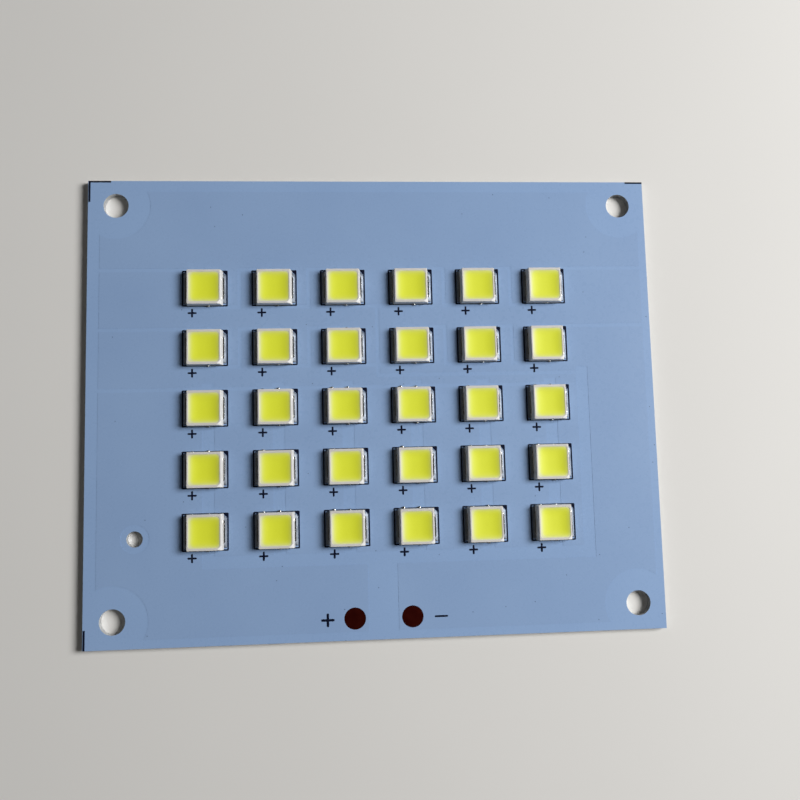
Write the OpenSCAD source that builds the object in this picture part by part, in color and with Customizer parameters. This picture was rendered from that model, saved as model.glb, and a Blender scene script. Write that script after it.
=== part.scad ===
// Aluminium-core board with a grid of surface-mount white lights.
// Millimetres. The origin is the middle of the plate's back face, +Z points out of the lit face,
// and +X points towards the negative wire pad.

/* [Board] */
// Width of the board, along X
board_w = 81; // [79:0.5:100]
// Depth of the board, along Y
board_d = 65.5; // [64.5:0.5:80]
// Thickness of the aluminium plate
plate_t = 1; // [0.8:0.1:2]
// Thickness of the web left between the two scored grooves along each edge
web_t = 0.3; // [0.2:0.05:0.5]
// Included angle of the scored grooves, in degrees
score_angle = 30; // [20:5:45]
// Thickness of the insulating layer on the plate
dielectric_t = 0.1; // [0.08:0.01:0.15]
// Thickness of the copper tracks
copper_t = 0.035; // [0.035:0.005:0.07]
// Thickness of the solder mask over the copper
mask_t = 0.025; // [0.02:0.005:0.04]
// Drop of the mask's surface where no copper lies under it
mask_drop = 0.02; // [0.01:0.005:0.03]
// Thickness of the mask's wall up the copper's edges
mask_wall = 0.04; // [0.02:0.01:0.1]
// Thickness of the printed legend
print_t = 0.015; // [0.01:0.005:0.02]
// Shift of copper, print and lights against the cut outline, along X
artwork_x = 0.3; // [-0.5:0.1:0.5]
// Shift of copper, print and lights against the cut outline, along Y
artwork_y = -0.2; // [-0.5:0.1:0.5]

/* [Holes] */
// Diameter of the mounting holes
hole_d = 3.5; // [3:0.1:4]
// Distance of the mounting holes' middles from the left and right edges
hole_in_x = 4; // [3.5:0.25:6.5]
// Distance of the mounting holes' middles from the upper and lower edges
hole_in_y = 3.75; // [3.25:0.25:5.75]
// Distance from a mounting hole's wall to the copper
hole_clear = 3.1; // [1:0.1:3.5]
// Diameter of the tooling hole
tooling_d = 2.2; // [1.5:0.1:3]
// Distance of the tooling hole from the left edge
tooling_in_x = 6.9; // [5:0.1:8]
// Distance of the tooling hole from the lower edge
tooling_in_y = 14.75; // [12:0.25:18]
// Distance from the tooling hole's wall to the copper
tooling_clear = 0.9; // [0.4:0.1:1.2]

/* [Copper] */
// Distance from the outline to the copper
copper_inset = 1.5; // [0.8:0.1:1.8]
// Width of the fine gaps between tracks
fine_gap = 0.6; // [0.4:0.05:0.8]
// Width of the wide gaps, such as those under the lights
wide_gap = 1.75; // [1.4:0.05:2]
// Width of the gap between the two large wire pad areas
pour_gap = 4.25; // [3:0.25:4.75]
// Distance from a light's middle to the gaps that end its track fingers, along Y
finger_reach = 2.7; // [2.65:0.05:2.9]
// Width of the track that leads back above the third row
bus_w = 1.05; // [0.8:0.05:1.2]
// Distance from the last column's middle to the gap beside it
field_margin_x = 5.2; // [4.8:0.1:6]
// Distance from the last row's middle to the gap below it
field_margin_y = 4.2; // [4:0.1:5]
// Diameter of the wire pads
wire_pad_d = 3; // [2:0.1:3.4]
// Distance between the wire pads
wire_pad_span = 8; // [7.5:0.25:12]
// Distance of the wire pads from the lower edge of the artwork
wire_pad_in = 3.25; // [3.1:0.05:5]

/* [Light grid] */
// Spacing of the lights, along X
pitch_x = 9.75; // [9:0.05:10.5]
// Spacing of the lights, along Y
pitch_y = 8.55; // [8.3:0.05:9]

/* [Light package] */
// Width of the moulded body at its foot, along X
body_w = 5; // [4.7:0.1:5.2]
// Depth of the moulded body at its foot, along Y
body_d = 5; // [4.8:0.1:5.2]
// Height of the moulded body
body_h = 1.3; // [1:0.05:1.6]
// Draft of the two walls that the leads come out of, in degrees
lead_wall_draft = 7; // [2:1:10]
// Draft of the two plain walls, in degrees
plain_wall_draft = 2; // [1:1:4]
// Width of the window in the top, along X
window_w = 4.2; // [3.6:0.05:4.3]
// Depth of the window in the top, along Y
window_d = 4.25; // [3.6:0.05:4.5]
// Radius of the window's corners
window_r = 0.4; // [0.2:0.05:0.8]
// Legs of the sloping cut at the top corner that marks the negative lead
corner_leg = 0.6; // [0.3:0.05:0.75]
// Depth of that cut at the corner
corner_drop = 0.35; // [0.2:0.05:0.6]
// Draft of the reflector's walls, in degrees
cup_draft = 25; // [10:1:28]
// Dip of the phosphor's surface at its middle
phosphor_dip = 0.2; // [0.05:0.01:0.25]
// Side of a light-emitting die
die_w = 0.7; // [0.4:0.05:0.8]
// Thickness of a die
die_t = 0.15; // [0.1:0.01:0.25]
// Distance between the two dies of a light, along Y
die_span = 1.6; // [1:0.1:1.9]
// Thickness of a bond wire
bond_d = 0.03; // [0.02:0.005:0.05]
// Rise of a bond wire's arch over the line between its two feet
bond_rise = 0.3; // [0.2:0.05:0.4]
// Side of the foot that is pressed flat at each end of a bond wire
bond_foot = 0.09; // [0.06:0.01:0.12]

/* [Leads and solder] */
// Distance across both leads, along X
lead_span = 5.4; // [5.3:0.05:5.8]
// Width of a lead, along Y
lead_w = 3.3; // [2.8:0.1:3.8]
// Thickness of the lead frame
lead_t = 0.2; // [0.15:0.01:0.3]
// Distance between the two leads of a light
lead_gap = 1.4; // [1:0.1:1.7]
// Place of the middle of that distance, from the light's middle
split_x = 0.45; // [0.2:0.05:0.55]
// Width of a cut tie bar
tie_w = 0.35; // [0.25:0.05:0.5]
// Length of the tie bars that stand out of the body's upper side
tie_upper = 0.3; // [0.1:0.05:0.5]
// Length of the tie bar that stands out of the body's lower side
tie_lower = 0.2; // [0.1:0.05:0.5]
// Length of a free tie bar held in the body
tie_in = 0.5; // [0.3:0.05:0.6]
// Place of the positive lead's tie bar, from the light's middle
tie_x = -1.75; // [-2:0.05:-1.2]
// Height of the body's foot over the printed legend
foot_clear = 0.02; // [0.01:0.005:0.05]
// Reach of a solder pad past the lead's end
pad_toe = 0.25; // [0.2:0.05:0.4]
// Distance of a solder pad's sides from the body's sides
pad_in = 0.3; // [0.25:0.05:0.5]
// Overlap of the mask on the copper at a pad's inner edge
mask_lap = 0.075; // [0.05:0.025:0.2]

/* [Legend] */
// Line width of the frames round the lights
frame_stroke = 0.2; // [0.15:0.01:0.2]
// Distance from a solder pad's end to the frame
frame_gap = 0.05; // [0.05:0.05:0.3]
// Reach of a frame past the body, along Y
frame_out = 0.1; // [0.05:0.05:0.3]
// Radius of a frame's outer corners
frame_r = 0.15; // [0.05:0.05:0.2]
// Legs of the triangle in a frame's corner that marks the negative lead, from the middle of its lines
key_leg = 0.7; // [0.2:0.05:0.8]
// Length of a corner mark's legs
mark_leg = 3.1; // [2:0.1:4]
// Line width of the corner marks
mark_stroke = 0.25; // [0.2:0.05:0.4]

/* [Hidden] */
// The circuit needs this grid: three lower rows in groups by column, two upper rows in groups by half
led_rows = 5;
led_columns = 6;
upper_rows = 2;
half_columns = led_columns / 2;

// Rounds of holes and pads
round_fn = 64;
// Rounds of window and frame corners
corner_fn = 24;
// The dish of the phosphor is a shallow cap of a large sphere
dish_fn = 240;
// Steps of a solder fillet's curve
fillet_steps = 4;
// Steps of a bond wire's arch
bond_steps = 8;
// Reach of a cut past the face it leaves
cut = 0.01;

// Levels, from the plate's back upwards
copper_z = plate_t + dielectric_t;
pad_z = copper_z + copper_t;
mask_z = pad_z + mask_t;
low_z = mask_z - mask_drop;
foot_z = mask_z + print_t + foot_clear;

// Scored edges: each groove leaves a sloping face that starts this far in from the web
score_depth = (plate_t - web_t) / 2;
score_in = score_depth * tan(score_angle / 2);
face_w = board_w - 2 * score_in;
face_d = board_d - 2 * score_in;
hole_x = board_w / 2 - hole_in_x;
hole_y = board_d / 2 - hole_in_y;
tooling_x = tooling_in_x - board_w / 2;
tooling_y = tooling_in_y - board_d / 2;

// Places of the lights and of the gaps between their tracks
function col_x(c) = artwork_x + (c - (led_columns - 1) / 2) * pitch_x;
function row_y(r) = artwork_y + ((led_rows - 1) / 2 - r) * pitch_y;
function gap_x(c) = col_x(c) + split_x;
function between_x(c) = col_x(c) + pitch_x / 2;
function finger_top(r) = row_y(r) + finger_reach;
function finger_foot(r) = row_y(r) - finger_reach;
last_row = led_rows - 1;
last_column = led_columns - 1;
copper_w = board_w - 2 * copper_inset;
copper_d = board_d - 2 * copper_inset;
left_x = artwork_x - copper_w / 2;
right_x = artwork_x + copper_w / 2;
lower_y = artwork_y - copper_d / 2;
field_x = col_x(last_column) + field_margin_x;
field_y = row_y(last_row) - field_margin_y;
bus_y = finger_top(upper_rows) + bus_w + fine_gap;
wire_pad_y = artwork_y - board_d / 2 + wire_pad_in;

// Solder pads, measured from a light's middle
pad_end = lead_span / 2 + pad_toe;
pad_half = body_d / 2 - pad_in;
pad_inner = wide_gap / 2 + mask_lap;
solder_t = foot_z - pad_z;
toe_z = mask_z - foot_z;

// Frame round a light: half its width and depth along the middle of its lines
frame_x = pad_end + frame_gap + frame_stroke / 2;
frame_y = body_d / 2 + frame_out - frame_stroke / 2;

// Half the width and depth of the moulded body at its top
top_x = body_w / 2 - body_h * tan(lead_wall_draft);
top_y = body_d / 2 - body_h * tan(plain_wall_draft);

// Reflector cup, with half the width of its floor
cup_h = body_h - lead_t;
cup_in = cup_h * tan(cup_draft);
cup_floor = window_w / 2 - cup_in;
window_reach = sqrt(window_w * window_w + window_d * window_d) / 2;
dish_r = (window_reach * window_reach + phosphor_dip * phosphor_dip) / (2 * phosphor_dip);

// Leads, dies and the feet of the bond wires, along X from a light's middle
positive_inner = split_x - lead_gap / 2;
negative_inner = split_x + lead_gap / 2;
die_x = (positive_inner - cup_floor) / 2;
die_z = lead_t + die_t;
positive_foot = (die_x - die_w / 2 - cup_floor) / 2;
negative_foot = (negative_inner + cup_floor) / 2;

function housing_name(r, c) = str("led_housing_r", r + 1, "c", c + 1);
function row_name(piece, r) = str(piece, "_row_", r + 1);
rows = [0 : last_row];
columns = [0 : last_column];
row_pieces = ["phosphor_fill", "lead_frames", "solder_joints", "led_dies", "bond_wires"];

// Section of the scored plate across one direction
function scored_section(w) = let (x = w / 2, f = w / 2 - score_in) [
    [-f, 0], [f, 0], [x, score_depth], [x, score_depth + web_t],
    [f, plate_t], [-f, plate_t], [-x, score_depth + web_t], [-x, score_depth]
];

// Section of a drafted wall pair: w wide at the foot, narrower by the draft at the top
function drafted_section(w, h, draft) = let (x = w / 2, t = w / 2 - h * tan(draft)) [
    [-x, 0], [x, 0], [t, h], [-t, h]
];

// Solid whose section across X is one outline and across Y another
module crossed(section_x, section_y, w, d) {
    intersection() {
        rotate([90, 0, 0]) linear_extrude(d, center = true) polygon(section_x);
        rotate([90, 0, 90]) linear_extrude(w, center = true) polygon(section_y);
    }
}

module at_holes() {
    for (x = [-1, 1], y = [-1, 1]) translate([x * hole_x, y * hole_y]) children();
}

module at_lights() {
    for (r = rows, c = columns) translate([col_x(c), row_y(r)]) children();
}

module at_wire_pads() {
    for (side = [-1, 1]) translate([artwork_x + side * wire_pad_span / 2, wire_pad_y]) children();
}

// All holes through the board, each widened by the same clearance
module holes_2d(mounting_clear = 0, small_clear = 0) {
    at_holes() circle(d = hole_d + 2 * mounting_clear, $fn = round_fn);
    translate([tooling_x, tooling_y]) circle(d = tooling_d + 2 * small_clear, $fn = round_fn);
}

module face_2d() {
    difference() {
        square([face_w, face_d], center = true);
        holes_2d();
    }
}

// One straight gap between tracks, given by its middle line; grow narrows it on all sides
module gap_line(x1, y1, x2, y2, w, grow) {
    half = w / 2 - grow;
    translate([min(x1, x2) - half, min(y1, y2) - half])
        square([abs(x2 - x1) + 2 * half, abs(y2 - y1) + 2 * half]);
}

// Gaps round the three lower rows, where each column is one group of the chain
module lower_gaps(grow) {
    for (c = columns) gap_line(gap_x(c), field_y, gap_x(c), finger_top(upper_rows), wide_gap, grow);
    gap_line(gap_x(0), field_y, field_x, field_y, wide_gap, grow);
    gap_line(field_x, field_y, field_x, bus_y, wide_gap, grow);
    gap_line(left_x, finger_top(upper_rows), gap_x(last_column), finger_top(upper_rows), fine_gap, grow);
    gap_line(artwork_x, bus_y, field_x, bus_y, fine_gap, grow);
    translate([artwork_x - pour_gap / 2 + grow, lower_y - wide_gap])
        square([pour_gap - 2 * grow, field_y - lower_y + wide_gap]);
}

// Gaps of one upper row: in the left half the positive fingers come from below, in the right from above
module upper_gaps(r, grow) {
    for (c = columns) {
        left_half = c < half_columns;
        positive_y = left_half ? finger_top(r) : finger_foot(r);
        negative_y = left_half ? finger_foot(r) : finger_top(r);
        start_x = c == 0 ? left_x : between_x(c - 1);
        end_x = c == last_column ? right_x : between_x(c);
        gap_line(gap_x(c), finger_foot(r) + fine_gap, gap_x(c), finger_top(r) - fine_gap, wide_gap, grow);
        gap_line(start_x, positive_y, gap_x(c), positive_y, fine_gap, grow);
        gap_line(gap_x(c), negative_y, end_x, negative_y, fine_gap, grow);
        if (c != last_column && c != half_columns - 1)
            gap_line(end_x, finger_foot(r), end_x, finger_top(r), fine_gap, grow);
    }
}

// Copper as seen from above; grow widens it on all sides
module tracks_2d(grow = 0) {
    difference() {
        translate([artwork_x, artwork_y])
            square([copper_w + 2 * grow, copper_d + 2 * grow], center = true);
        holes_2d(hole_clear - grow, tooling_clear - grow);
        lower_gaps(grow);
        for (r = [0 : upper_rows - 1]) upper_gaps(r, grow);
        gap_line(artwork_x, bus_y, artwork_x, finger_foot(0), fine_gap, grow);
    }
}

// Triangle in the frame's corner that marks the negative lead; grow moves its sloping side out
module key_2d(grow = 0) {
    leg = key_leg + grow * sqrt(2);
    polygon([[frame_x, frame_y], [frame_x - leg, frame_y], [frame_x, frame_y - leg]]);
}

// Openings in the mask: two solder pads at each light and the two wire pads. The negative solder pad has one corner
// cut clear of the printed triangle.
module pads_2d() {
    at_lights() {
        translate([-pad_end, -pad_half]) square([pad_end + split_x - pad_inner, 2 * pad_half]);
        difference() {
            translate([split_x + pad_inner, -pad_half]) square([pad_end - split_x - pad_inner, 2 * pad_half]);
            key_2d(frame_gap);
        }
    }
    at_wire_pads() circle(d = wire_pad_d, $fn = round_fn);
}

module frame_2d() {
    w = 2 * frame_x + frame_stroke;
    d = 2 * frame_y + frame_stroke;
    difference() {
        offset(r = frame_r, $fn = corner_fn) square([w - 2 * frame_r, d - 2 * frame_r], center = true);
        square([w - 2 * frame_stroke, d - 2 * frame_stroke], center = true);
    }
    key_2d();
}

// Corner marks lie on the artwork's own outline, so the shift takes some of them off the board
module corner_marks_2d() {
    intersection() {
        square([face_w, face_d], center = true);
        translate([artwork_x, artwork_y]) for (x = [-1, 1], y = [-1, 1]) scale([x, y])
            translate([-board_w / 2, -board_d / 2]) {
                translate([-mark_stroke / 2, -mark_stroke / 2]) square([mark_leg, mark_stroke]);
                translate([-mark_stroke / 2, -mark_stroke / 2]) square([mark_stroke, mark_leg]);
            }
    }
}

module legend_2d() {
    at_lights() frame_2d();
    corner_marks_2d();
}

module base_plate() {
    color("silver") difference() {
        crossed(scored_section(board_w), scored_section(board_d), board_w, board_d);
        translate([0, 0, -cut]) linear_extrude(plate_t + 2 * cut) holes_2d();
    }
}

module dielectric_layer() {
    color("gainsboro") translate([0, 0, plate_t]) linear_extrude(dielectric_t) face_2d();
}

module copper_tracks() {
    color("sienna") translate([0, 0, copper_z]) linear_extrude(copper_t) tracks_2d();
}

// Ink over everything but the pads: it sinks between the tracks and stands up over them
module solder_mask() {
    color("lightsteelblue") difference() {
        translate([0, 0, copper_z]) {
            linear_extrude(low_z - copper_z) face_2d();
            linear_extrude(mask_z - copper_z) tracks_2d(mask_wall);
        }
        translate([0, 0, copper_z - cut]) linear_extrude(copper_t + cut) tracks_2d();
        translate([0, 0, copper_z]) linear_extrude(mask_z - copper_z + cut) pads_2d();
    }
}

// Print on the raised mask, carried down to the mask's low surface between the tracks
module legend_print() {
    color("midnightblue") {
        translate([0, 0, mask_z]) linear_extrude(print_t) legend_2d();
        translate([0, 0, low_z]) linear_extrude(mask_drop + print_t) difference() {
            legend_2d();
            tracks_2d(mask_wall);
        }
    }
}

// Window in the housing's top
module window_2d() {
    square([window_w, window_d - 2 * window_r], center = true);
    square([window_w - 2 * window_r, window_d], center = true);
    for (x = [-1, 1], y = [-1, 1])
        translate([x * (window_w / 2 - window_r), y * (window_d / 2 - window_r)])
            circle(r = window_r, $fn = corner_fn);
}

// Block above the sloping cut at the corner of the top that marks the negative lead
module corner_cut() {
    slope = atan(corner_drop * sqrt(2) / corner_leg);
    side = 2 * corner_leg;
    translate([top_x - corner_leg / 2, corner_leg / 2 - top_y, body_h]) rotate([0, slope, -45])
        translate([0, -side / 2, 0]) cube(side);
}

// Space of the reflector cup from the leads up to the rim, and past it by over
module cup(over = 0) {
    h = cup_h + over;
    translate([0, 0, lead_t]) intersection() {
        crossed(
            drafted_section(window_w - 2 * cup_in, h, -cup_draft),
            drafted_section(window_d - 2 * cup_in, h, -cup_draft),
            window_w + h, window_d + h
        );
        linear_extrude(h) window_2d();
    }
}

// The stamped lead frame of one light, carried down by below where it is used as a cut
module lead_frame(below = 0) {
    h = lead_t + below;
    translate([0, 0, -below]) {
        translate([-lead_span / 2, -lead_w / 2, 0]) cube([lead_span / 2 + positive_inner, lead_w, h]);
        translate([tie_x - tie_w / 2, 0, 0]) cube([tie_w, body_d / 2 + tie_upper, h]);
        translate([negative_inner, -lead_w / 2, 0]) cube([lead_span / 2 - negative_inner, lead_w, h]);
        translate([split_x - tie_w / 2, body_d / 2 - tie_in, 0]) cube([tie_w, tie_in + tie_upper, h]);
        translate([split_x - tie_w / 2, -body_d / 2 - tie_lower, 0]) cube([tie_w, tie_in + tie_lower, h]);
    }
}

module dies() {
    for (side = [-1, 1]) translate([die_x - die_w / 2, side * die_span / 2 - die_w / 2, lead_t])
        cube([die_w, die_w, die_t]);
}

// Middle of a bond wire at share t of its way, and the unit vector across it
function bond_point(from, to, t) = from + (to - from) * t + [0, 4 * bond_rise * t * (1 - t)];
function bond_across(from, to, t) =
    let (run = to.x - from.x, rise = to.y - from.y + 4 * bond_rise * (1 - 2 * t))
    [-rise, run] / norm([run, rise]);

// One bond wire between two places given by X and Z, with a flat foot at each end
module bond_wire(from, to) {
    middle = [0, bond_d / 2];
    shares = [for (i = [0 : bond_steps]) i / bond_steps];
    above = [for (t = shares) bond_point(from, to, t) + middle + bond_across(from, to, t) * bond_d / 2];
    below = [for (t = shares) bond_point(from, to, t) + middle - bond_across(from, to, t) * bond_d / 2];
    rotate([90, 0, 0]) linear_extrude(bond_d, center = true)
        polygon(concat(above, [for (i = [bond_steps : -1 : 0]) below[i]]));
    for (end = [from, to]) translate([end.x - bond_foot / 2, -bond_foot / 2, end.y])
        cube([bond_foot, bond_foot, bond_d]);
}

// Two wires from each die: a short one to its own lead and a long one over to the negative lead
module light_wires() {
    for (side = [-1, 1]) translate([0, side * die_span / 2, 0]) {
        bond_wire([die_x - die_w / 4, die_z], [positive_foot, lead_t]);
        bond_wire([die_x + die_w / 4, die_z], [negative_foot, lead_t]);
    }
}

// Curve of a solder fillet, flat at the pad's end and steep at the lead's end
function fillet_section() = concat(
    [[body_w / 2, -solder_t], [pad_end, -solder_t]],
    [for (i = [0 : fillet_steps]) let (a = 90 * i / fillet_steps)
        [pad_end - pad_toe * sin(a), toe_z + (lead_t - toe_z) * (1 - cos(a))]],
    [[body_w / 2, lead_t]]
);

// Solder under one lead and up its end; the lead points to +X and its pad starts at inner_x
module solder_joint(inner_x) {
    difference() {
        union() {
            translate([inner_x, -pad_half, -solder_t]) cube([pad_end - inner_x, 2 * pad_half, solder_t]);
            rotate([90, 0, 0]) linear_extrude(2 * pad_half, center = true) polygon(fillet_section());
        }
        translate([0, -lead_w / 2, 0]) cube([lead_span / 2, lead_w, lead_t + cut]);
    }
}

module led_housing(r, c) {
    color("whitesmoke") translate([col_x(c), row_y(r), foot_z]) difference() {
        crossed(
            drafted_section(body_w, body_h, lead_wall_draft),
            drafted_section(body_d, body_h, plain_wall_draft),
            body_w, body_d
        );
        lead_frame(cut);
        cup(cut);
        corner_cut();
    }
}

module along_row(r) {
    for (c = columns) translate([col_x(c), row_y(r), foot_z]) children();
}

module phosphor_fill(r) {
    color("yellow") along_row(r) difference() {
        cup();
        dies();
        light_wires();
        translate([0, 0, body_h - phosphor_dip + dish_r]) sphere(r = dish_r, $fn = dish_fn);
    }
}

module lead_frames(r) {
    color("lightgray") along_row(r) lead_frame();
}

module solder_joints(r) {
    color("darkgray") along_row(r) {
        difference() {
            solder_joint(split_x + pad_inner);
            translate([0, 0, -solder_t - cut]) linear_extrude(solder_t + lead_t + 2 * cut) key_2d(frame_gap);
        }
        mirror([1, 0, 0]) solder_joint(pad_inner - split_x);
    }
}

module led_dies(r) {
    color("royalblue") along_row(r) dies();
}

module bond_wires(r) {
    color("gold") along_row(r) light_wires();
}

base_plate();
dielectric_layer();
copper_tracks();
solder_mask();
legend_print();
for (r = rows) {
    for (c = columns) led_housing(r, c);
    phosphor_fill(r);
    lead_frames(r);
    solder_joints(r);
    led_dies(r);
    bond_wires(r);
}
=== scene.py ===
"""Looks of an aluminium-core circuit board with thirty white surface-mount lights, seen from above."""

import bpy
import numpy as np
from mathutils import Matrix, Vector


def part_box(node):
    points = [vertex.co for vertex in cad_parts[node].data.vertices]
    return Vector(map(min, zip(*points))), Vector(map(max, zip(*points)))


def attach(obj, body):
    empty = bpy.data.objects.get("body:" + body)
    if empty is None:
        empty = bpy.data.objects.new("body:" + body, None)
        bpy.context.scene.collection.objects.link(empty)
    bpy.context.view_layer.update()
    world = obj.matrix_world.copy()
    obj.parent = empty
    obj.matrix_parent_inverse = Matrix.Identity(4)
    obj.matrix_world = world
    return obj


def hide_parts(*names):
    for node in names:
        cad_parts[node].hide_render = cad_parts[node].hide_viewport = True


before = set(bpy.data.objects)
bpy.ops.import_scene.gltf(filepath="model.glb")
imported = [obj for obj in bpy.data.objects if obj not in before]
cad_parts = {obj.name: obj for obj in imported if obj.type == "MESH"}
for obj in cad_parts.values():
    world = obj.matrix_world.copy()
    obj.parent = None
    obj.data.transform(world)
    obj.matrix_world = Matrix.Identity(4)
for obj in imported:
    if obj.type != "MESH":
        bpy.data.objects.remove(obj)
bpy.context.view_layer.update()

MM = 0.001
ROWS = range(1, 6)
COLUMNS = range(1, 7)
dice = np.random.default_rng(54)


def housing_name(r, c):
    """Node of the housing in row r and column c, both counted from 1."""
    return f"led_housing_r{r}c{c}"


def corners(node):
    """Lowest and highest corner of a node of the frame, in millimetres."""
    low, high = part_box(node)
    return np.array(low) / MM, np.array(high) / MM


# Places and sizes read from the frame, in millimetres; those of a light start at the middle of its foot
body_low, body_high = corners(housing_name(1, 1))
BODY_X, BODY_Y, BODY_H = (body_high - body_low) * [0.5, 0.5, 1]
FOOT_Z = body_low[2]
FIRST = (body_low + body_high) / 2
next_low, next_high = corners(housing_name(2, 2))
PITCH = np.abs((next_low + next_high) / 2 - FIRST)
lead_low, lead_high = corners("lead_frames_row_1")
LEAD_END, LEAD_T = FIRST[0] - lead_low[0], lead_high[2] - lead_low[2]
TIE_UPPER, TIE_LOWER = lead_high[1] - FIRST[1], lead_low[1] - FIRST[1]
joint_low, joint_high = corners("solder_joints_row_1")
PAD_END, PAD_Z = FIRST[0] - joint_low[0], joint_low[2] - FOOT_Z
PAD_Y = (joint_high[1] - joint_low[1]) / 2
MASK_Z = corners("solder_mask")[1][2]
print_low, print_high = corners("legend_print")
MASK_LOW_Z, PRINT_Z = print_low[2], print_high[2]
PLATE_X, PLATE_Y = corners("base_plate")[1][:2]

# Sizes of a light that the frame's boxes don't give, in millimetres
LEAD_WALL_DRAFT, PLAIN_WALL_DRAFT, CUP_DRAFT = np.radians([9, 2, 25])
FOOT_FLARE = 0.045
WINDOW_X, WINDOW_Y, WINDOW_R = 2.12, 2.125, 0.4
BODY_R = 0.1
CORNER_LEG, CORNER_DROP = 0.6, 0.35
RIM_R, LIP_R, FOOT_R = 0.05, 0.025, 0.05
LEAD_Y, LEAD_CORNER, LEAD_EDGE = 1.65, 0.3, 0.005
POSITIVE_INNER, NEGATIVE_INNER = -0.25, 1.15
TIE_W, TIE_IN, TIE_X, SPLIT_X = 0.35, 0.5, -1.75, 0.45
PAD_INNER, PAD_CUT = 0.95, 0.32

# Printed signs, in millimetres: places measured from the board's middle or from a light's middle
SIGN_FROM_LIGHT = (-1.78, -3.52)
LIGHT_SIGN, LIGHT_STROKE = 1.27, 0.26
PLUS_AT, MINUS_AT = (-7.45, -29.8), (8.3, -29.8)
PAD_SIGN, PLUS_STROKE, MINUS_STROKE = 1.85, 0.34, 0.26

# Points on each quarter circle of an outline
ARC = 6


def outline(half_x, half_y, radius, cut=0.0, side=0):
    """Rounded rectangle, counter-clockwise from above: a quarter circle about each corner's own centre,
    starting at the corner +X -Y, and side points spread over each straight line between two of them. Where
    cut is set, the first corner is a straight line between two points at that distance from it."""
    turn = np.linspace(0, np.pi / 2, ARC)
    start = np.radians([[-90], [0], [90], [180]])
    side_x, side_y = np.array([[1, 1, -1, -1], [-1, 1, 1, -1]])[:, :, None]
    x = side_x * (half_x - radius) + radius * np.cos(start + turn)
    y = side_y * (half_y - radius) + radius * np.sin(start + turn)
    if cut:
        share = np.linspace(0, 1, ARC)
        x[0] = half_x - cut * (1 - share)
        y[0] = cut * share - half_y
    points = np.stack([x, y], -1)
    way = np.linspace(0, 1, side + 2)[1:-1, None]
    lines = points[:, -1:] * (1 - way) + np.roll(points[:, :1], -1, axis=0) * way
    return np.concatenate([points, lines], 1).reshape(-1, 2)


def rings(rows, side=0):
    """Stack of outlines: each row gives the half width, half depth, corner radius, height and corner cut of
    one of them."""
    loops = [np.insert(outline(x, y, r, cut, side), 2, z, axis=1) for x, y, r, z, cut in rows]
    return np.array(loops)


def shell(loops, top, foot):
    """Closed skin over a grid of points, row after row from a top pole out and down to a foot pole:
    four-sided faces between neighbouring rows, and a fan of triangles at each pole. Rows run
    counter-clockwise seen from the top."""
    rows, around, _ = loops.shape
    here = np.arange(rows * around).reshape(rows, around)
    after = np.roll(here, -1, axis=1)
    quads = np.stack([here[:-1], here[1:], after[1:], after[:-1]], -1).reshape(-1, 4)
    pole = np.full(around, rows * around)
    top_fan = np.stack([pole, here[0], after[0]], -1)
    foot_fan = np.stack([pole + 1, after[-1], here[-1]], -1)
    points = np.concatenate([loops.reshape(-1, 3), [top, foot]])
    return points, quads.tolist() + top_fan.tolist() + foot_fan.tolist()


def moved(skin, offset):
    """The skin carried to another place."""
    points, faces = skin
    return points + offset, faces


def turned(skin, quarters):
    """The skin turned about Z by whole quarter turns, so that its faces keep their sides."""
    points, faces = skin
    across = (points[:, 0] + 1j * points[:, 1]) * 1j ** quarters
    return np.stack([across.real, across.imag, points[:, 2]], -1), faces


# Edges that turn by more than this are drawn sharp
SMOOTH_ANGLE = np.radians(60)


def piece(name, skins, material, replaced=()):
    """One object of the row frame made of closed skins in millimetres, with its finish and the nodes that it
    stands for."""
    mesh = bpy.data.meshes.new(name)
    points, faces, count = [], [], 0
    for skin_points, skin_faces in skins:
        points.append(skin_points)
        faces += [[i + count for i in face] for face in skin_faces]
        count += len(skin_points)
    mesh.from_pydata((np.concatenate(points) * MM).tolist(), [], faces)
    mesh.polygons.foreach_set("use_smooth", np.ones(len(faces), bool))
    mesh.set_sharp_from_angle(angle=SMOOTH_ANGLE)
    mesh.materials.append(material)
    obj = bpy.data.objects.new(name, mesh)
    bpy.context.scene.collection.objects.link(obj)
    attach(obj, "root")
    if replaced:
        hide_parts(*replaced)
    return obj


def mark(obj, name, domain, values):
    """Keeps one number for each point or face of a piece, which its finish reads."""
    obj.data.attributes.new(name, "FLOAT", domain).data.foreach_set("value", values)


def flat_faces_stay_flat(obj):
    """Large faces keep their own normal, and the small rounded edges between them take up the turn."""
    modifier = obj.modifiers.new("weighted_normals", "WEIGHTED_NORMAL")
    modifier.mode = "FACE_AREA"
    modifier.keep_sharp = True


def light_place(r, c):
    """Middle of a light's foot in the row frame, in millimetres."""
    return np.array([FIRST[0] + (c - 1) * PITCH[0], FIRST[1] - (r - 1) * PITCH[1], FOOT_Z])


# Shapes of one light

CUP_IN = (BODY_H - LEAD_T) * np.tan(CUP_DRAFT)
FOOT_X = BODY_X + FOOT_FLARE
TOP_X = FOOT_X - BODY_H * np.tan(LEAD_WALL_DRAFT)
TOP_Y = BODY_Y - BODY_H * np.tan(PLAIN_WALL_DRAFT)
RIM_BEND = np.radians([0, 20, 40, 60, 75, 90])


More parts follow.
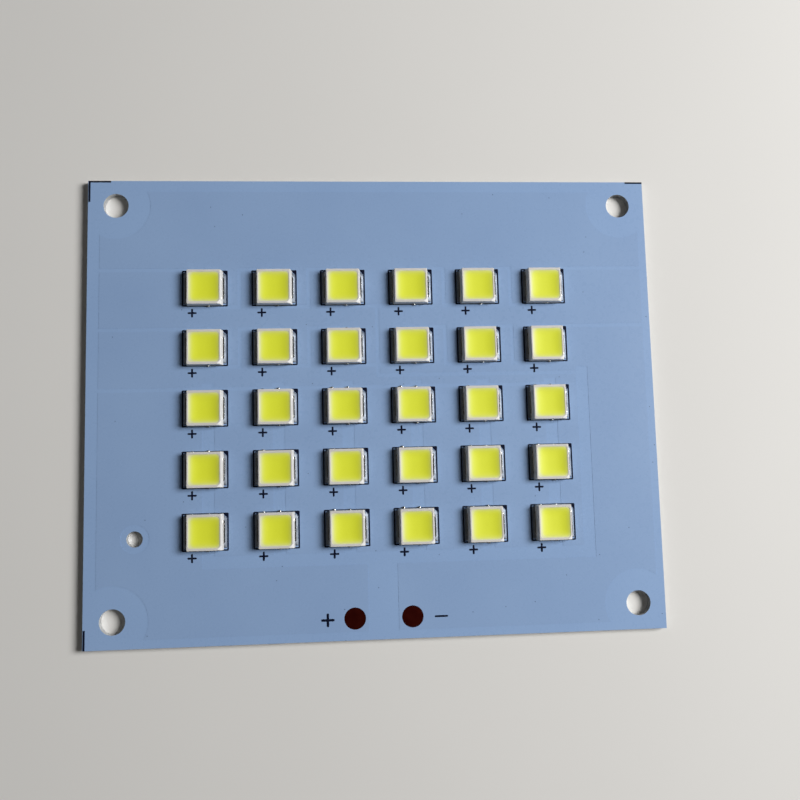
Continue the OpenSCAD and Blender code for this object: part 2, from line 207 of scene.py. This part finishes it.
def moulded_body():
    """Profile carried round the light: from the cup's floor up its sloping wall, over the rim's two rounded
    edges and down the drafted outer wall to the foot. One top corner is cut, and the cut runs out at the row
    below the rim. With the skin comes a mark of 1 for each face of that cut."""
    bend = list(zip(1 - np.cos(RIM_BEND), 1 - np.sin(RIM_BEND)))
    cup = [(WINDOW_X - CUP_IN, WINDOW_Y - CUP_IN, WINDOW_R, LEAD_T, 0)]
    inner = [(WINDOW_X + LIP_R * by_cosine, WINDOW_Y + LIP_R * by_cosine, WINDOW_R,
              BODY_H - LIP_R * by_sine, 0) for by_cosine, by_sine in bend]
    outer = [(TOP_X - RIM_R * by_sine, TOP_Y - RIM_R * by_sine, BODY_R,
              BODY_H - RIM_R * by_cosine, CORNER_LEG) for by_cosine, by_sine in bend]
    drop_x = TOP_X + CORNER_DROP * np.tan(LEAD_WALL_DRAFT)
    drop_y = TOP_Y + CORNER_DROP * np.tan(PLAIN_WALL_DRAFT)
    walls = [(drop_x, drop_y, BODY_R, BODY_H - CORNER_DROP, 0),
             (FOOT_X, BODY_Y, BODY_R, FOOT_R, 0),
             (FOOT_X - FOOT_R, BODY_Y - FOOT_R, BODY_R, 0, 0)]
    to_rim = cup + inner + outer
    loops = rings(to_rim + walls)
    skin = shell(loops, (0, 0, LEAD_T), (0, 0, 0))
    first = (len(to_rim) - 1) * loops.shape[1]
    cut_corner = np.zeros(len(skin[1]))
    cut_corner[first:first + ARC - 1] = 1
    return skin, cut_corner


DISH_STEPS, DISH_SIDE = 16, 10
DISH_DIP, DIP_RANGE, DISH_POWER = 0.225, (0.85, 1.15), np.array([2.5, 4])
# The last of these moves the pale window towards the lamp: painted light, a wider pale band where the cup
# wall is lit
PALE_R, PALE_REACH, LAMPWARD_PALE_SHIFT = 0.8, 0.2, np.array([0.14, 0.03])


def phosphor_dish(dip):
    """Fill of the cup, and how deep the eye sees into it. Along X and along Y the surface curls up by a power
    of the share of the way from the middle to the window's edge; its dip is the product of what both leave.
    The depth seen rises from 0 by an exponential of the distance inside a rounder window, which is shifted
    towards the lamp, so the pale band is painted wider where the cup wall faces the lamp, as painted light.
    Below its surface the fill follows the cup."""
    shares = np.sin(np.linspace(0, np.pi / 2, DISH_STEPS + 1)[1:])
    brim = BODY_H - LIP_R
    surface = rings([(WINDOW_X * s, WINDOW_Y * s, WINDOW_R * s, brim, 0) for s in shares], DISH_SIDE)
    out = np.abs(surface[:, :, :2]) / [WINDOW_X, WINDOW_Y]
    surface[:, :, 2] -= dip * np.prod(1 - out ** DISH_POWER, axis=2)
    past = np.abs(surface[:, :, :2] - LAMPWARD_PALE_SHIFT) - [WINDOW_X - PALE_R, WINDOW_Y - PALE_R]
    inside = PALE_R - np.linalg.norm(np.maximum(past, 0), axis=2) - np.minimum(past.max(axis=2), 0)
    depth = 1 - np.exp(-np.maximum(inside, 0).ravel() / PALE_REACH)
    floor_ring = rings([(WINDOW_X - CUP_IN, WINDOW_Y - CUP_IN, WINDOW_R, LEAD_T, 0)], DISH_SIDE)
    skin = shell(np.concatenate([surface, floor_ring]), (0, 0, brim - dip), (0, 0, LEAD_T))
    return skin, np.concatenate([depth, np.zeros(floor_ring.shape[1]), [1, 0]])


LEAD_BEND = np.radians([90, 45, 0])


def stamped_lead(x1, x2):
    """Flat lead between two places along X, with rounded corners, seen from above, and rounded edges:
    outlines that draw in by the edge's radius along a quarter circle at top and foot."""
    half_x = (x2 - x1) / 2
    over = []
    for angle in LEAD_BEND:
        draw = LEAD_EDGE * (1 - np.cos(angle))
        over.append((half_x - draw, LEAD_Y - draw, LEAD_CORNER - draw,
                     LEAD_T - LEAD_EDGE * (1 - np.sin(angle)), 0))
    under = [(x, y, r, LEAD_T - z, cut) for x, y, r, z, cut in reversed(over)]
    skin = shell(rings(over + under), (0, 0, LEAD_T), (0, 0, 0))
    return moved(skin, [(x1 + x2) / 2, 0, 0])


# Edges of a tie bar's section: places in from its side and down from its top, in millimetres
SHARP_EDGE = ((0, 0.02), (0.02, 0))
ROLLED_EDGE = ((0.1, 0), (0.05, 0.015), (0.015, 0.04), (0, 0.08))
TIE_BEND = np.radians([0, 25, 50, 70, 90])
TIE_END, TIE_TIP = 0.08, 0.25


def tie_bar(x, y1, y2):
    """Cut end of a tie bar: a section carried along Y, drawn in at both ends along a quarter circle. The
    punch left the section's top flat, its left edge sharp and its right edge rolled over."""
    half = TIE_W / 2
    left = [(side - half, LEAD_T - down) for side, down in SHARP_EDGE]
    right = [(half - side, LEAD_T - down) for side, down in ROLLED_EDGE]
    section = np.array([(-half, 0), *left, *right, (half, 0)])
    middle = np.array([0, LEAD_T / 2])
    grow = TIE_TIP + (1 - TIE_TIP) * np.sin(TIE_BEND)
    draw = np.concatenate([grow, grow[::-1]])
    inset = TIE_END * (1 - np.cos(TIE_BEND))
    along = np.concatenate([y2 - inset, y1 + inset[::-1]])
    across = middle + draw[:, None, None] * (section - middle)
    along = np.repeat(along[:, None], len(section), 1)
    loops = np.stack([across[:, :, 0] + x, along, across[:, :, 1]], -1)
    return shell(loops, loops[0].mean(0), loops[-1].mean(0))


# Shortest stubs of the tie bars, as shares of the frame's own
SHORT_UPPER, SHORT_LOWER = 0.25, 0.7


def formed_leads():
    """The two leads of one light and the ends of its tie bars, each cut at its own length."""
    shares = SHORT_UPPER + (1 - SHORT_UPPER) * dice.uniform(0, 1, 2) ** 2
    upper = BODY_Y + (TIE_UPPER - BODY_Y) * shares
    lower = -BODY_Y + (TIE_LOWER + BODY_Y) * dice.uniform(SHORT_LOWER, 1)
    return [
        stamped_lead(-LEAD_END, POSITIVE_INNER),
        stamped_lead(NEGATIVE_INNER, LEAD_END),
        tie_bar(TIE_X, BODY_Y - TIE_IN, upper[0]),
        tie_bar(SPLIT_X, BODY_Y - TIE_IN, upper[1]),
        tie_bar(SPLIT_X, lower, TIE_IN - BODY_Y),
    ]


FRONT_POINTS, CORNER_POINTS, END_POINTS, FLANK_POINTS = 7, 7, 5, 8
SOLDER_INSET, BED_EDGE, SOLDER_ROUND = 0.02, 0.01, 0.12

# Waves along a joint's toe and along its slope: radians per millimetre, and height
TOE_WAVES, SLOPE_WAVES = ((1.9, 1), (4.3, 0.6)), ((1.4, 1), (3.7, 0.5))
TOE_REACH, TOE_SWING = 0.97, 0.02
SLOPE_RANGE, SLOPE_SWING = (0.32, 0.42), 0.03
FLANK_POWER_RANGE = (0.95, 1.15)


def waves(y, kinds, phases):
    """Sum of sines along Y, each with its own rate, height and phase."""
    return sum(height * np.sin(rate * y + phase) for (rate, height), phase in zip(kinds, phases))


def solder_fillet(cut):
    """Solder on the pad in front of a lead and beside it: a flank carried along Y over the whole pad. Its
    inner line is the lead's end with a quarter circle at each corner, and beside the lead the foot of the
    housing. From there the flank falls with a power of the way out to the pad's edge. Its height at the inner
    line grows with that way, so the slope stays even, and slope and reach vary a little along Y. At both ends
    it rounds off by a square root of the way in. The pad's corner +X +Y is cut off by legs of the length
    given."""
    half = PAD_Y - SOLDER_INSET
    straight = LEAD_Y - LEAD_CORNER
    front = np.linspace(0, straight, FRONT_POINTS)
    turn = straight + LEAD_CORNER * np.sin(np.linspace(0, np.pi / 2, CORNER_POINTS)[1:])
    ends = half - SOLDER_ROUND * (1 - np.sin(np.linspace(0, np.pi / 2, END_POINTS)))
    side = np.concatenate([front, turn, ends])
    y = np.concatenate([-side[:0:-1], side])
    past = np.clip((np.abs(y) - LEAD_Y) / LEAD_CORNER + 1, 0, 1)
    inner = np.maximum(LEAD_END - LEAD_CORNER * (1 - np.sqrt(1 - past ** 2)), BODY_X)
    outer = np.minimum(PAD_END, PAD_END + PAD_Y - cut - y)
    phases = dice.uniform(0, 2 * np.pi, 4)
    reach = (outer - inner) * (TOE_REACH + TOE_SWING * waves(y, TOE_WAVES, phases[:2]))
    slope = dice.uniform(*SLOPE_RANGE) + SLOPE_SWING * waves(y, SLOPE_WAVES, phases[2:])
    climb = slope * reach * np.sqrt(np.clip((half - np.abs(y)) / SOLDER_ROUND, 0, 1))
    power = dice.uniform(*FLANK_POWER_RANGE)
    out = np.linspace(1, 0, FLANK_POINTS)
    flank_x = inner[:, None] + reach[:, None] * out
    flank_z = MASK_Z - FOOT_Z + climb[:, None] * (1 - out) ** power
    under = np.full((len(y), 1), PAD_Z)
    section_x = np.concatenate([flank_x, flank_x[:, -1:], flank_x[:, :1]], 1)
    section_z = np.concatenate([flank_z, under, under], 1)
    section_y = np.repeat(y[:, None], section_x.shape[1], 1)
    loops = np.stack([section_x, section_y, section_z], -1)
    return shell(loops, loops[0].mean(0), loops[-1].mean(0))


def solder_joint(inner, cut=0.0):
    """One joint under a lead that points to +X: the fillet at the lead's end and the thin bed under the lead,
    which fills the pad up to the mask. The bed's outline is drawn a quarter turn back, where its cut corner
    comes first."""
    half_x, half_y = PAD_Y - SOLDER_INSET, (PAD_END - SOLDER_INSET - inner) / 2
    top = MASK_Z - FOOT_Z
    bed = shell(rings([(half_x - BED_EDGE, half_y - BED_EDGE, BED_EDGE, top, cut),
                       (half_x, half_y, BED_EDGE, top - BED_EDGE, cut),
                       (half_x, half_y, BED_EDGE, PAD_Z, cut)]), (0, 0, top), (0, 0, PAD_Z))
    return [solder_fillet(cut), moved(turned(bed, 1), [inner + half_y, 0, 0])]


SIGN_ARC = 9
INK_DRAW, INK_BRIM = 0.02, 0.004


def printed_sign(arms, length, stroke):
    """Flat sign with equal arms round a middle: each arm ends in a half circle, and four arms meet at sharp
    inner corners. The ink's edge is rounded by a second, slightly smaller outline on top."""
    half = stroke / 2
    turn = np.linspace(-np.pi / 2, np.pi / 2, SIGN_ARC)
    arm = np.stack([length / 2 - half + half * np.cos(turn), half * np.sin(turn)], -1)
    if arms == 4:
        arm = np.concatenate([arm, [[half, half]]])
    angles = np.arange(arms) * 2 * np.pi / arms
    spins = [np.array([[np.cos(a), np.sin(a)], [-np.sin(a), np.cos(a)]]) for a in angles]
    loop = np.concatenate([arm @ spin for spin in spins])
    over = np.insert(loop * (1 - INK_DRAW / length), 2, PRINT_Z, axis=1)
    brim = np.insert(loop, 2, PRINT_Z - INK_BRIM, axis=1)
    under = np.insert(loop, 2, MASK_LOW_Z, axis=1)
    return shell(np.array([over, brim, under]), (0, 0, PRINT_Z), (0, 0, MASK_LOW_Z))


# Nodes of the materials


def linear(hex_colour):
    """Linear red, green and blue of an sRGB hex colour, with an alpha of 1."""
    srgb = np.array([int(hex_colour[i:i + 2], 16) for i in (1, 3, 5)]) / 255
    rgb = np.where(srgb <= 0.04045, srgb / 12.92, ((srgb + 0.055) / 1.055) ** 2.4)
    return (*rgb, 1)


def feed(tree, socket, value):
    """Gives an input its value, or links it where the value is a socket."""
    if isinstance(value, bpy.types.NodeSocket):
        tree.links.new(value, socket)
    else:
        socket.default_value = value


def put(tree, kind, inputs=None, **settings):
    """Adds a node with its settings and feeds its inputs."""
    node = tree.nodes.new("ShaderNode" + kind)
    for name, value in settings.items():
        setattr(node, name, value)
    for key, value in (inputs or {}).items():
        feed(tree, node.inputs[key], value)
    return node


def noise(tree, place, size, detail, **more):
    """Strength of a cloud pattern whose features are this many millimetres across."""
    inputs = {"Vector": place, "Scale": 1 / (size * MM), "Detail": detail, **more}
    return put(tree, "TexNoise", inputs).outputs["Fac"]


# The Mix node keeps its colour sockets at these places
FACTOR, COLOUR_A, COLOUR_B, COLOUR_OUT = 0, 6, 7, 2


def blend(tree, factor, first, second):
    """Colour between two others, each an sRGB hex colour or a socket."""
    start, end = [linear(colour) if isinstance(colour, str) else colour for colour in (first, second)]
    node = put(tree, "Mix", {FACTOR: factor, COLOUR_A: start, COLOUR_B: end}, data_type="RGBA")
    return node.outputs[COLOUR_OUT]


def spread(tree, value, low, high, between=(0, 1), **settings):
    """Value carried from the range between two numbers to the range from low to high."""
    inputs = {"Value": value, "From Min": between[0], "From Max": between[1], "To Min": low, "To Max": high}
    return put(tree, "MapRange", inputs, **settings).outputs[0]


def maths(tree, operation, *values):
    """Result of one sum on one or two values."""
    return put(tree, "Math", dict(enumerate(values)), operation=operation).outputs[0]


def relief(tree, height, strength, depth):
    """Normal of a surface with this relief, whose depth is in millimetres."""
    inputs = {"Height": height, "Strength": strength, "Distance": depth * MM}
    return put(tree, "Bump", inputs).outputs[0]


def finish(name):
    """New material with one principled shader; returns it with its tree, its shader and the Object
    coordinates."""
    material = bpy.data.materials.new(name)
    material.use_nodes = True
    tree = material.node_tree
    tree.nodes.clear()
    shader = put(tree, "BsdfPrincipled")
    put(tree, "OutputMaterial", {"Surface": shader.outputs["BSDF"]})
    place = put(tree, "TexCoord").outputs["Object"]
    return material, tree, shader, place


def dress(tree, shader, **inputs):
    """Feeds the shader's inputs, whose names are written with underscores."""
    for name, value in inputs.items():
        feed(tree, shader.inputs[name.replace("_", " ")], value)


# Materials

ROLLED_STRETCH = (0.02, 1, 1)
TORN_DEPTH = 0.01


def mill_aluminium():
    """Rolled aluminium sheet in mill finish: fine lines along the rolling direction streak its soft grey
    shine. The scored edges carry the same lines, and the torn web between the scores is dull and grainy."""
    material, tree, shader, place = finish("aluminium_sheet_mill_rolled")
    along = put(tree, "Mapping", {"Vector": place, "Scale": ROLLED_STRETCH}).outputs["Vector"]
    lines = noise(tree, along, 0.25, 4)
    blotch = noise(tree, place, 9, 3)
    grit = noise(tree, place, 0.12, 2)
    axes = put(tree, "SeparateXYZ", {"Vector": place}).outputs
    at_edge = [maths(tree, "GREATER_THAN", maths(tree, "ABSOLUTE", axes[axis]), (half - TORN_DEPTH) * MM)
               for axis, half in (("X", PLATE_X), ("Y", PLATE_Y))]
    torn = maths(tree, "MAXIMUM", *at_edge)
    rolled = blend(tree, lines, "#B4B7BB", "#D3D5D8")
    rough = spread(tree, blotch, 0.28, 0.42, (0.3, 0.7))
    grain = put(tree, "Mix", {FACTOR: torn, 2: lines, 3: grit}).outputs[0]
    dress(tree, shader, Base_Color=blend(tree, torn, rolled, "#8E9094"), Metallic=1,
          Roughness=spread(tree, torn, rough, 0.7), Normal=relief(tree, grain, 0.25, 0.02))
    return material


def filled_epoxy():
    """Ceramic-filled epoxy, pressed on the plate: only its cut edge shows, as a dull off-white line with
    grains."""
    material, tree, shader, place = finish("epoxy_ceramic_filled")
    grain = noise(tree, place, 0.06, 3)
    dress(tree, shader, Base_Color=blend(tree, grain, "#A3A294", "#D6D4C6"), Roughness=0.75,
          Normal=relief(tree, grain, 0.3, 0.01))
    return material


def coated_copper():
    """Copper foil under a thin tarnish film: a deep red, fairly smooth metal that looks dark maroon where it
    mirrors a dark surround, in clouds about a millimetre across."""
    material, tree, shader, place = finish("copper_foil_tarnished")
    cloud = noise(tree, place, 1.2, 5, Roughness=0.6)
    dress(tree, shader, Base_Color=blend(tree, cloud, "#7E221C", "#A03C2E"), Metallic=1,
          Roughness=spread(tree, cloud, 0.16, 0.26), Normal=relief(tree, cloud, 0.1, 0.02))
    return material


DUST_APART, DUST_SIZE, DUST_BARE = 4.5, 0.015, 0.8


def solder_mask_ink():
    """Screen-printed solder mask, pale steel blue and satin: the ink is a shade lighter where it lies lower,
    between the tracks, its surface has a faint orange peel, and a few specks of dust are caught in it."""
    material, tree, shader, place = finish("solder_mask_satin_blue")
    height = put(tree, "SeparateXYZ", {"Vector": place}).outputs["Z"]
    level = spread(tree, height, 0, 1, (MASK_LOW_Z * MM, MASK_Z * MM))
    cloud = noise(tree, place, 14, 4, Roughness=0.55)
    peel = noise(tree, place, 0.7, 2)
    over_copper = blend(tree, cloud, "#7E97BB", "#88A1C3")
    between = blend(tree, cloud, "#809ABF", "#8AA4C7")
    inked = blend(tree, level, between, over_copper)
    dust = put(tree, "TexVoronoi", {"Vector": place, "Scale": 1 / (DUST_APART * MM)},
               voronoi_dimensions="2D").outputs
    near = maths(tree, "LESS_THAN", dust["Distance"], DUST_SIZE)
    pick = put(tree, "SeparateColor", {"Color": dust["Color"]}).outputs[0]
    speck = maths(tree, "MULTIPLY", near, maths(tree, "GREATER_THAN", pick, DUST_BARE))
    dress(tree, shader, Base_Color=blend(tree, speck, inked, "#4C5A72"), Specular_IOR_Level=0.3,
          Roughness=spread(tree, peel, 0.24, 0.32), Normal=relief(tree, peel, 0.12, 0.02))
    return material


def legend_ink():
    """Screen-printed legend ink, near black with a blue cast: thin and matt, with the print's fine mesh
    grain."""
    material, tree, shader, place = finish("legend_ink_navy_black")
    grain = noise(tree, place, 0.09, 3)
    dress(tree, shader, Base_Color=blend(tree, grain, "#04060F", "#111831"), Roughness=0.6,
          Specular_IOR_Level=0.05, Normal=relief(tree, grain, 0.2, 0.006))
    return material


def white_moulding():
    """Injection-moulded white polyamide, filled to reflect: a warm white with a low gloss, faint flow clouds
    and the fine grain of the mould. The rim top is painted a shade greyer than the walls, as painted light
    that makes the walls read brighter, and the cut corner's faces are painted paler as a painted highlight."""
    material, tree, shader, place = finish("polyamide_white_moulded")
    cloud = noise(tree, place, 1.6, 3)
    grain = noise(tree, place, 0.08, 2)
    # Painted light: the walls get a lighter white than the rim top, so walls facing the lamp read brighter
    walls = blend(tree, cloud, "#D0CEC9", "#D8D6D2")
    rim = blend(tree, cloud, "#C0BDB7", "#D0CDC8")
    height = put(tree, "SeparateXYZ", {"Vector": place}).outputs["Z"]
    rim_z = FOOT_Z + BODY_H
    near_rim = spread(tree, height, 0, 1, ((rim_z - RIM_R) * MM, rim_z * MM))
    # Painted highlight: the faces of the cut corner get a paler white, #E6E4E0
    cut_corner = put(tree, "Attribute", attribute_name="cut_corner").outputs["Fac"]
    painted_rim_shade = blend(tree, near_rim, walls, rim)
    dress(tree, shader, Base_Color=blend(tree, cut_corner, painted_rim_shade, "#E6E4E0"), IOR=1.53,
          Roughness=spread(tree, grain, 0.26, 0.4), Normal=relief(tree, grain, 0.1, 0.008))
    return material


def phosphor_silicone():
    """Silicone cast with phosphor powder: greenish yellow, paler at the window's edge where the fill thins
    out over the white cup, with a soft gloss; that pale band is painted wider where the cup wall faces
    the lamp, as painted light. The powder is too fine to show, so its grain is drawn at a tenth of a
    millimetre."""
    material, tree, shader, place = finish("silicone_phosphor_cast")
    depth = put(tree, "Attribute", attribute_name="depth").outputs["Fac"]
    grain = noise(tree, place, 0.1, 2)
    cloud = noise(tree, place, 2.2, 3)
    deep = blend(tree, grain, "#CED428", "#DEE435")
    cloudy = blend(tree, cloud, deep, "#D5DB2F")
    dress(tree, shader, Base_Color=blend(tree, depth, "#D2D4A0", cloudy), IOR=1.41,
          Roughness=spread(tree, grain, 0.5, 0.62), Normal=relief(tree, grain, 0.08, 0.01))
    return material


def plated_strip():
    """Copper strip, silver plated and stamped: grey and glossy, with spots of tarnish."""
    material, tree, shader, place = finish("copper_strip_silver_plated")
    tarnish = noise(tree, place, 0.5, 4)
    dress(tree, shader, Base_Color=blend(tree, tarnish, "#807E79", "#ABA9A4"), Metallic=1,
          Roughness=spread(tree, tarnish, 0.24, 0.16), Normal=relief(tree, tarnish, 0.05, 0.01))
    return material


def reflowed_solder():
    """Tin solder, reflowed: a dull grey metal broken by the grain that it froze with, duller where flux dried
    on it."""
    material, tree, shader, place = finish("tin_solder_reflowed")
    grain = noise(tree, place, 0.15, 3)
    flux = noise(tree, place, 0.8, 3)
    dress(tree, shader, Base_Color=blend(tree, flux, "#50555C", "#757B84"), Metallic=1,
          Roughness=spread(tree, flux, 0.6, 0.46), Normal=relief(tree, grain, 0.07, 0.01))
    return material


def sawn_crystal():
    """Sawn nitride chip on sapphire: blue grey and glassy, with saw marks. It lies sealed under the fill."""
    material, tree, shader, place = finish("sapphire_chip_sawn")
    marks = noise(tree, place, 0.05, 2)
    dress(tree, shader, Base_Color=blend(tree, marks, "#4A5E9C", "#8496C4"), Roughness=0.2, IOR=1.77)
    return material


def drawn_gold():
    """Drawn gold wire: bright yellow metal with faint lines. It lies sealed under the fill."""
    material, tree, shader, place = finish("gold_wire_drawn")
    lines = noise(tree, place, 0.02, 1)
    dress(tree, shader, Base_Color=blend(tree, lines, "#D9AE4E", "#F0CF7A"), Metallic=1, Roughness=0.25)
    return material


FINISHES = {
    "base_plate": mill_aluminium(),
    "dielectric_layer": filled_epoxy(),
    "copper_tracks": coated_copper(),
    "solder_mask": solder_mask_ink(),
    "legend_print": legend_ink(),
    "led_housing": white_moulding(),
    "phosphor_fill": phosphor_silicone(),
    "lead_frames": plated_strip(),
    "solder_joints": reflowed_solder(),
    "led_dies": sawn_crystal(),
    "bond_wires": drawn_gold(),
}

for name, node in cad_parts.items():
    node.data.materials.clear()
    node.data.materials.append(next(FINISHES[key] for key in FINISHES if name.startswith(key)))

# Pieces of the lights

for r in ROWS:
    for c in COLUMNS:
        skin, cut_corner = moulded_body()
        body = piece(f"moulded_body_r{r}c{c}", [moved(skin, light_place(r, c))],
                     FINISHES["led_housing"], [housing_name(r, c)])
        mark(body, "cut_corner", "FACE", cut_corner)
        flat_faces_stay_flat(body)
    places = [light_place(r, c) for c in COLUMNS]
    dishes = [phosphor_dish(DISH_DIP * dice.uniform(*DIP_RANGE)) for _ in places]
    fill = piece(f"phosphor_dish_row_{r}", [moved(skin, place) for (skin, _), place in zip(dishes, places)],
                 FINISHES["phosphor_fill"], [f"phosphor_fill_row_{r}"])
    mark(fill, "depth", "POINT", np.concatenate([depth for _, depth in dishes]))
    leads = [moved(skin, place) for place in places for skin in formed_leads()]
    strip = piece(f"formed_leads_row_{r}", leads, FINISHES["lead_frames"],
                  [f"lead_frames_row_{r}"])
    flat_faces_stay_flat(strip)
    joints = []
    for place in places:
        joints += [moved(skin, place) for skin in solder_joint(SPLIT_X + PAD_INNER, PAD_CUT)]
        joints += [moved(turned(skin, 2), place) for skin in solder_joint(PAD_INNER - SPLIT_X)]
    piece(f"solder_fillets_row_{r}", joints, FINISHES["solder_joints"],
          [f"solder_joints_row_{r}"])

# Polarity signs: a plus beside each light, and one sign beside each wire pad

sign_places = [light_place(r, c)[:2] + SIGN_FROM_LIGHT for r in ROWS for c in COLUMNS]
signs = [moved(printed_sign(4, LIGHT_SIGN, LIGHT_STROKE), [*place, 0]) for place in sign_places]
signs.append(moved(printed_sign(4, PAD_SIGN, PLUS_STROKE), [*PLUS_AT, 0]))
signs.append(moved(printed_sign(2, PAD_SIGN, MINUS_STROKE), [*MINUS_AT, 0]))
piece("polarity_signs", signs, FINISHES["legend_print"])

# Stage, in metres: a pale floor that runs out into a backdrop, one soft lamp and a dim surround

BACKDROP = linear("#CFCDC9")
FLOOR_HALF, FLOOR_Z, FLOOR_NEAR, FLOOR_FAR = 1.5, -0.00002, 0.09, 0.3
LAMP_FROM, LAMP_REACH, LAMP_SIZE, LAMP_POWER = Vector((0.751, 0.134, 0.658)), 0.55, 0.26, 4.2
GLOW_LEFT, GLOW_RIGHT, GLOW_FRONT, GLOW_OVERHEAD = 0.015, 0.26, 0.14, 0.05
GLOW_STARTS, BACKDROP_ENDS, BACKDROP_OVERHEAD = -0.6, (0.35, 0.65), 0.08


def seen_rays(tree):
    """1 for a ray from the eye, also by way of a mirror or glass, and 0 for one that only carries light: the
    far floor and the backdrop are seen, but light nothing."""
    rays = put(tree, "LightPath").outputs
    mirrored = maths(tree, "MAXIMUM", rays["Is Camera Ray"], rays["Is Glossy Ray"])
    return maths(tree, "MAXIMUM", mirrored, rays["Is Transmission Ray"])


def floor_paint():
    """Matt pale paint with faint clouds four centimetres across, which the eye sees turn into the backdrop's
    colour far from the board."""
    material, tree, shader, place = finish("floor_pale_paint")
    cloud = noise(tree, place, 40, 3)
    dress(tree, shader, Base_Color=blend(tree, cloud, "#CDCBC7", "#D1CFCB"), Roughness=0.8)
    out = put(tree, "VectorMath", {0: place}, operation="LENGTH").outputs["Value"]
    far = spread(tree, out, 0, 1, (FLOOR_NEAR, FLOOR_FAR), interpolation_type="SMOOTHSTEP")
    seen = maths(tree, "MULTIPLY", far, seen_rays(tree))
    pale = put(tree, "Emission", {"Color": BACKDROP, "Strength": 1}).outputs[0]
    look = put(tree, "MixShader", {0: seen, 1: shader.outputs["BSDF"], 2: pale}).outputs[0]
    tree.links.new(look, tree.nodes["Material Output"].inputs["Surface"])
    return material


def surround():
    """World that is darkest overhead and to the left, and brightest low in front and to the right. What the
    eye sees of it is the pale backdrop, which fades out well below the dark overhead."""
    world = bpy.data.worlds.new("surround")
    world.use_nodes = True
    tree = world.node_tree
    tree.nodes.clear()
    sky = put(tree, "SeparateXYZ", {"Vector": put(tree, "TexCoord").outputs["Generated"]}).outputs
    across = spread(tree, sky["X"], GLOW_LEFT, GLOW_RIGHT, (GLOW_STARTS, 1))
    front = spread(tree, sky["Y"], 0, GLOW_FRONT, (0, -1))
    upward = spread(tree, sky["Z"], maths(tree, "ADD", across, front), GLOW_OVERHEAD)
    glow = put(tree, "Background", {"Color": (1, 1, 1, 1), "Strength": upward}).outputs[0]
    fade = spread(tree, sky["Z"], 1, BACKDROP_OVERHEAD, BACKDROP_ENDS, interpolation_type="SMOOTHSTEP")
    backdrop = put(tree, "Background", {"Color": BACKDROP, "Strength": fade}).outputs[0]
    both = put(tree, "MixShader", {0: seen_rays(tree), 1: glow, 2: backdrop}).outputs[0]
    put(tree, "OutputWorld", {"Surface": both})
    return world


floor_mesh = bpy.data.meshes.new("floor")
floor_corners = [(x * FLOOR_HALF, y * FLOOR_HALF, FLOOR_Z) for x, y in ((-1, -1), (1, -1), (1, 1), (-1, 1))]
floor_mesh.from_pydata(floor_corners, [], [(0, 1, 2, 3)])
floor_mesh.materials.append(floor_paint())
floor = bpy.data.objects.new("floor", floor_mesh)
bpy.context.scene.collection.objects.link(floor)

lamp_data = bpy.data.lights.new("soft_lamp", "AREA")
lamp_data.shape = "DISK"
lamp_data.size = LAMP_SIZE
lamp_data.energy = LAMP_POWER
lamp = bpy.data.objects.new("soft_lamp", lamp_data)
lamp.location = LAMP_FROM.normalized() * LAMP_REACH
lamp.rotation_euler = LAMP_FROM.to_track_quat("Z", "Y").to_euler()
bpy.context.scene.collection.objects.link(lamp)

bpy.context.scene.world = surround()
bpy.context.scene.view_settings.view_transform = "Standard"

# Camera of the photograph, in millimetres and pixels of a square picture

CAMERA_AT = Vector((-5.74, -11.32, 117.23))
CAMERA_AIM = Vector((3.28, 0.52, 1.16))
CAMERA_UP = Vector((0.0177, 0.9945, 0.1028))
FOCAL_PIXELS, PICTURE_PIXELS = 821.5, 800
SENSOR_WIDTH, NEAREST_SEEN = 36, 5

camera_data = bpy.data.cameras.new("camera")
camera_data.sensor_width = SENSOR_WIDTH
camera_data.lens = SENSOR_WIDTH * FOCAL_PIXELS / PICTURE_PIXELS
camera_data.clip_start = NEAREST_SEEN * MM
camera = bpy.data.objects.new("camera", camera_data)
backward = (CAMERA_AT - CAMERA_AIM).normalized()
rightward = CAMERA_UP.cross(backward).normalized()
upright = backward.cross(rightward)
camera_turn = Matrix((rightward, upright, backward)).transposed().to_4x4()
camera.matrix_world = Matrix.Translation(CAMERA_AT * MM) @ camera_turn
bpy.context.scene.collection.objects.link(camera)
bpy.context.scene.camera = camera
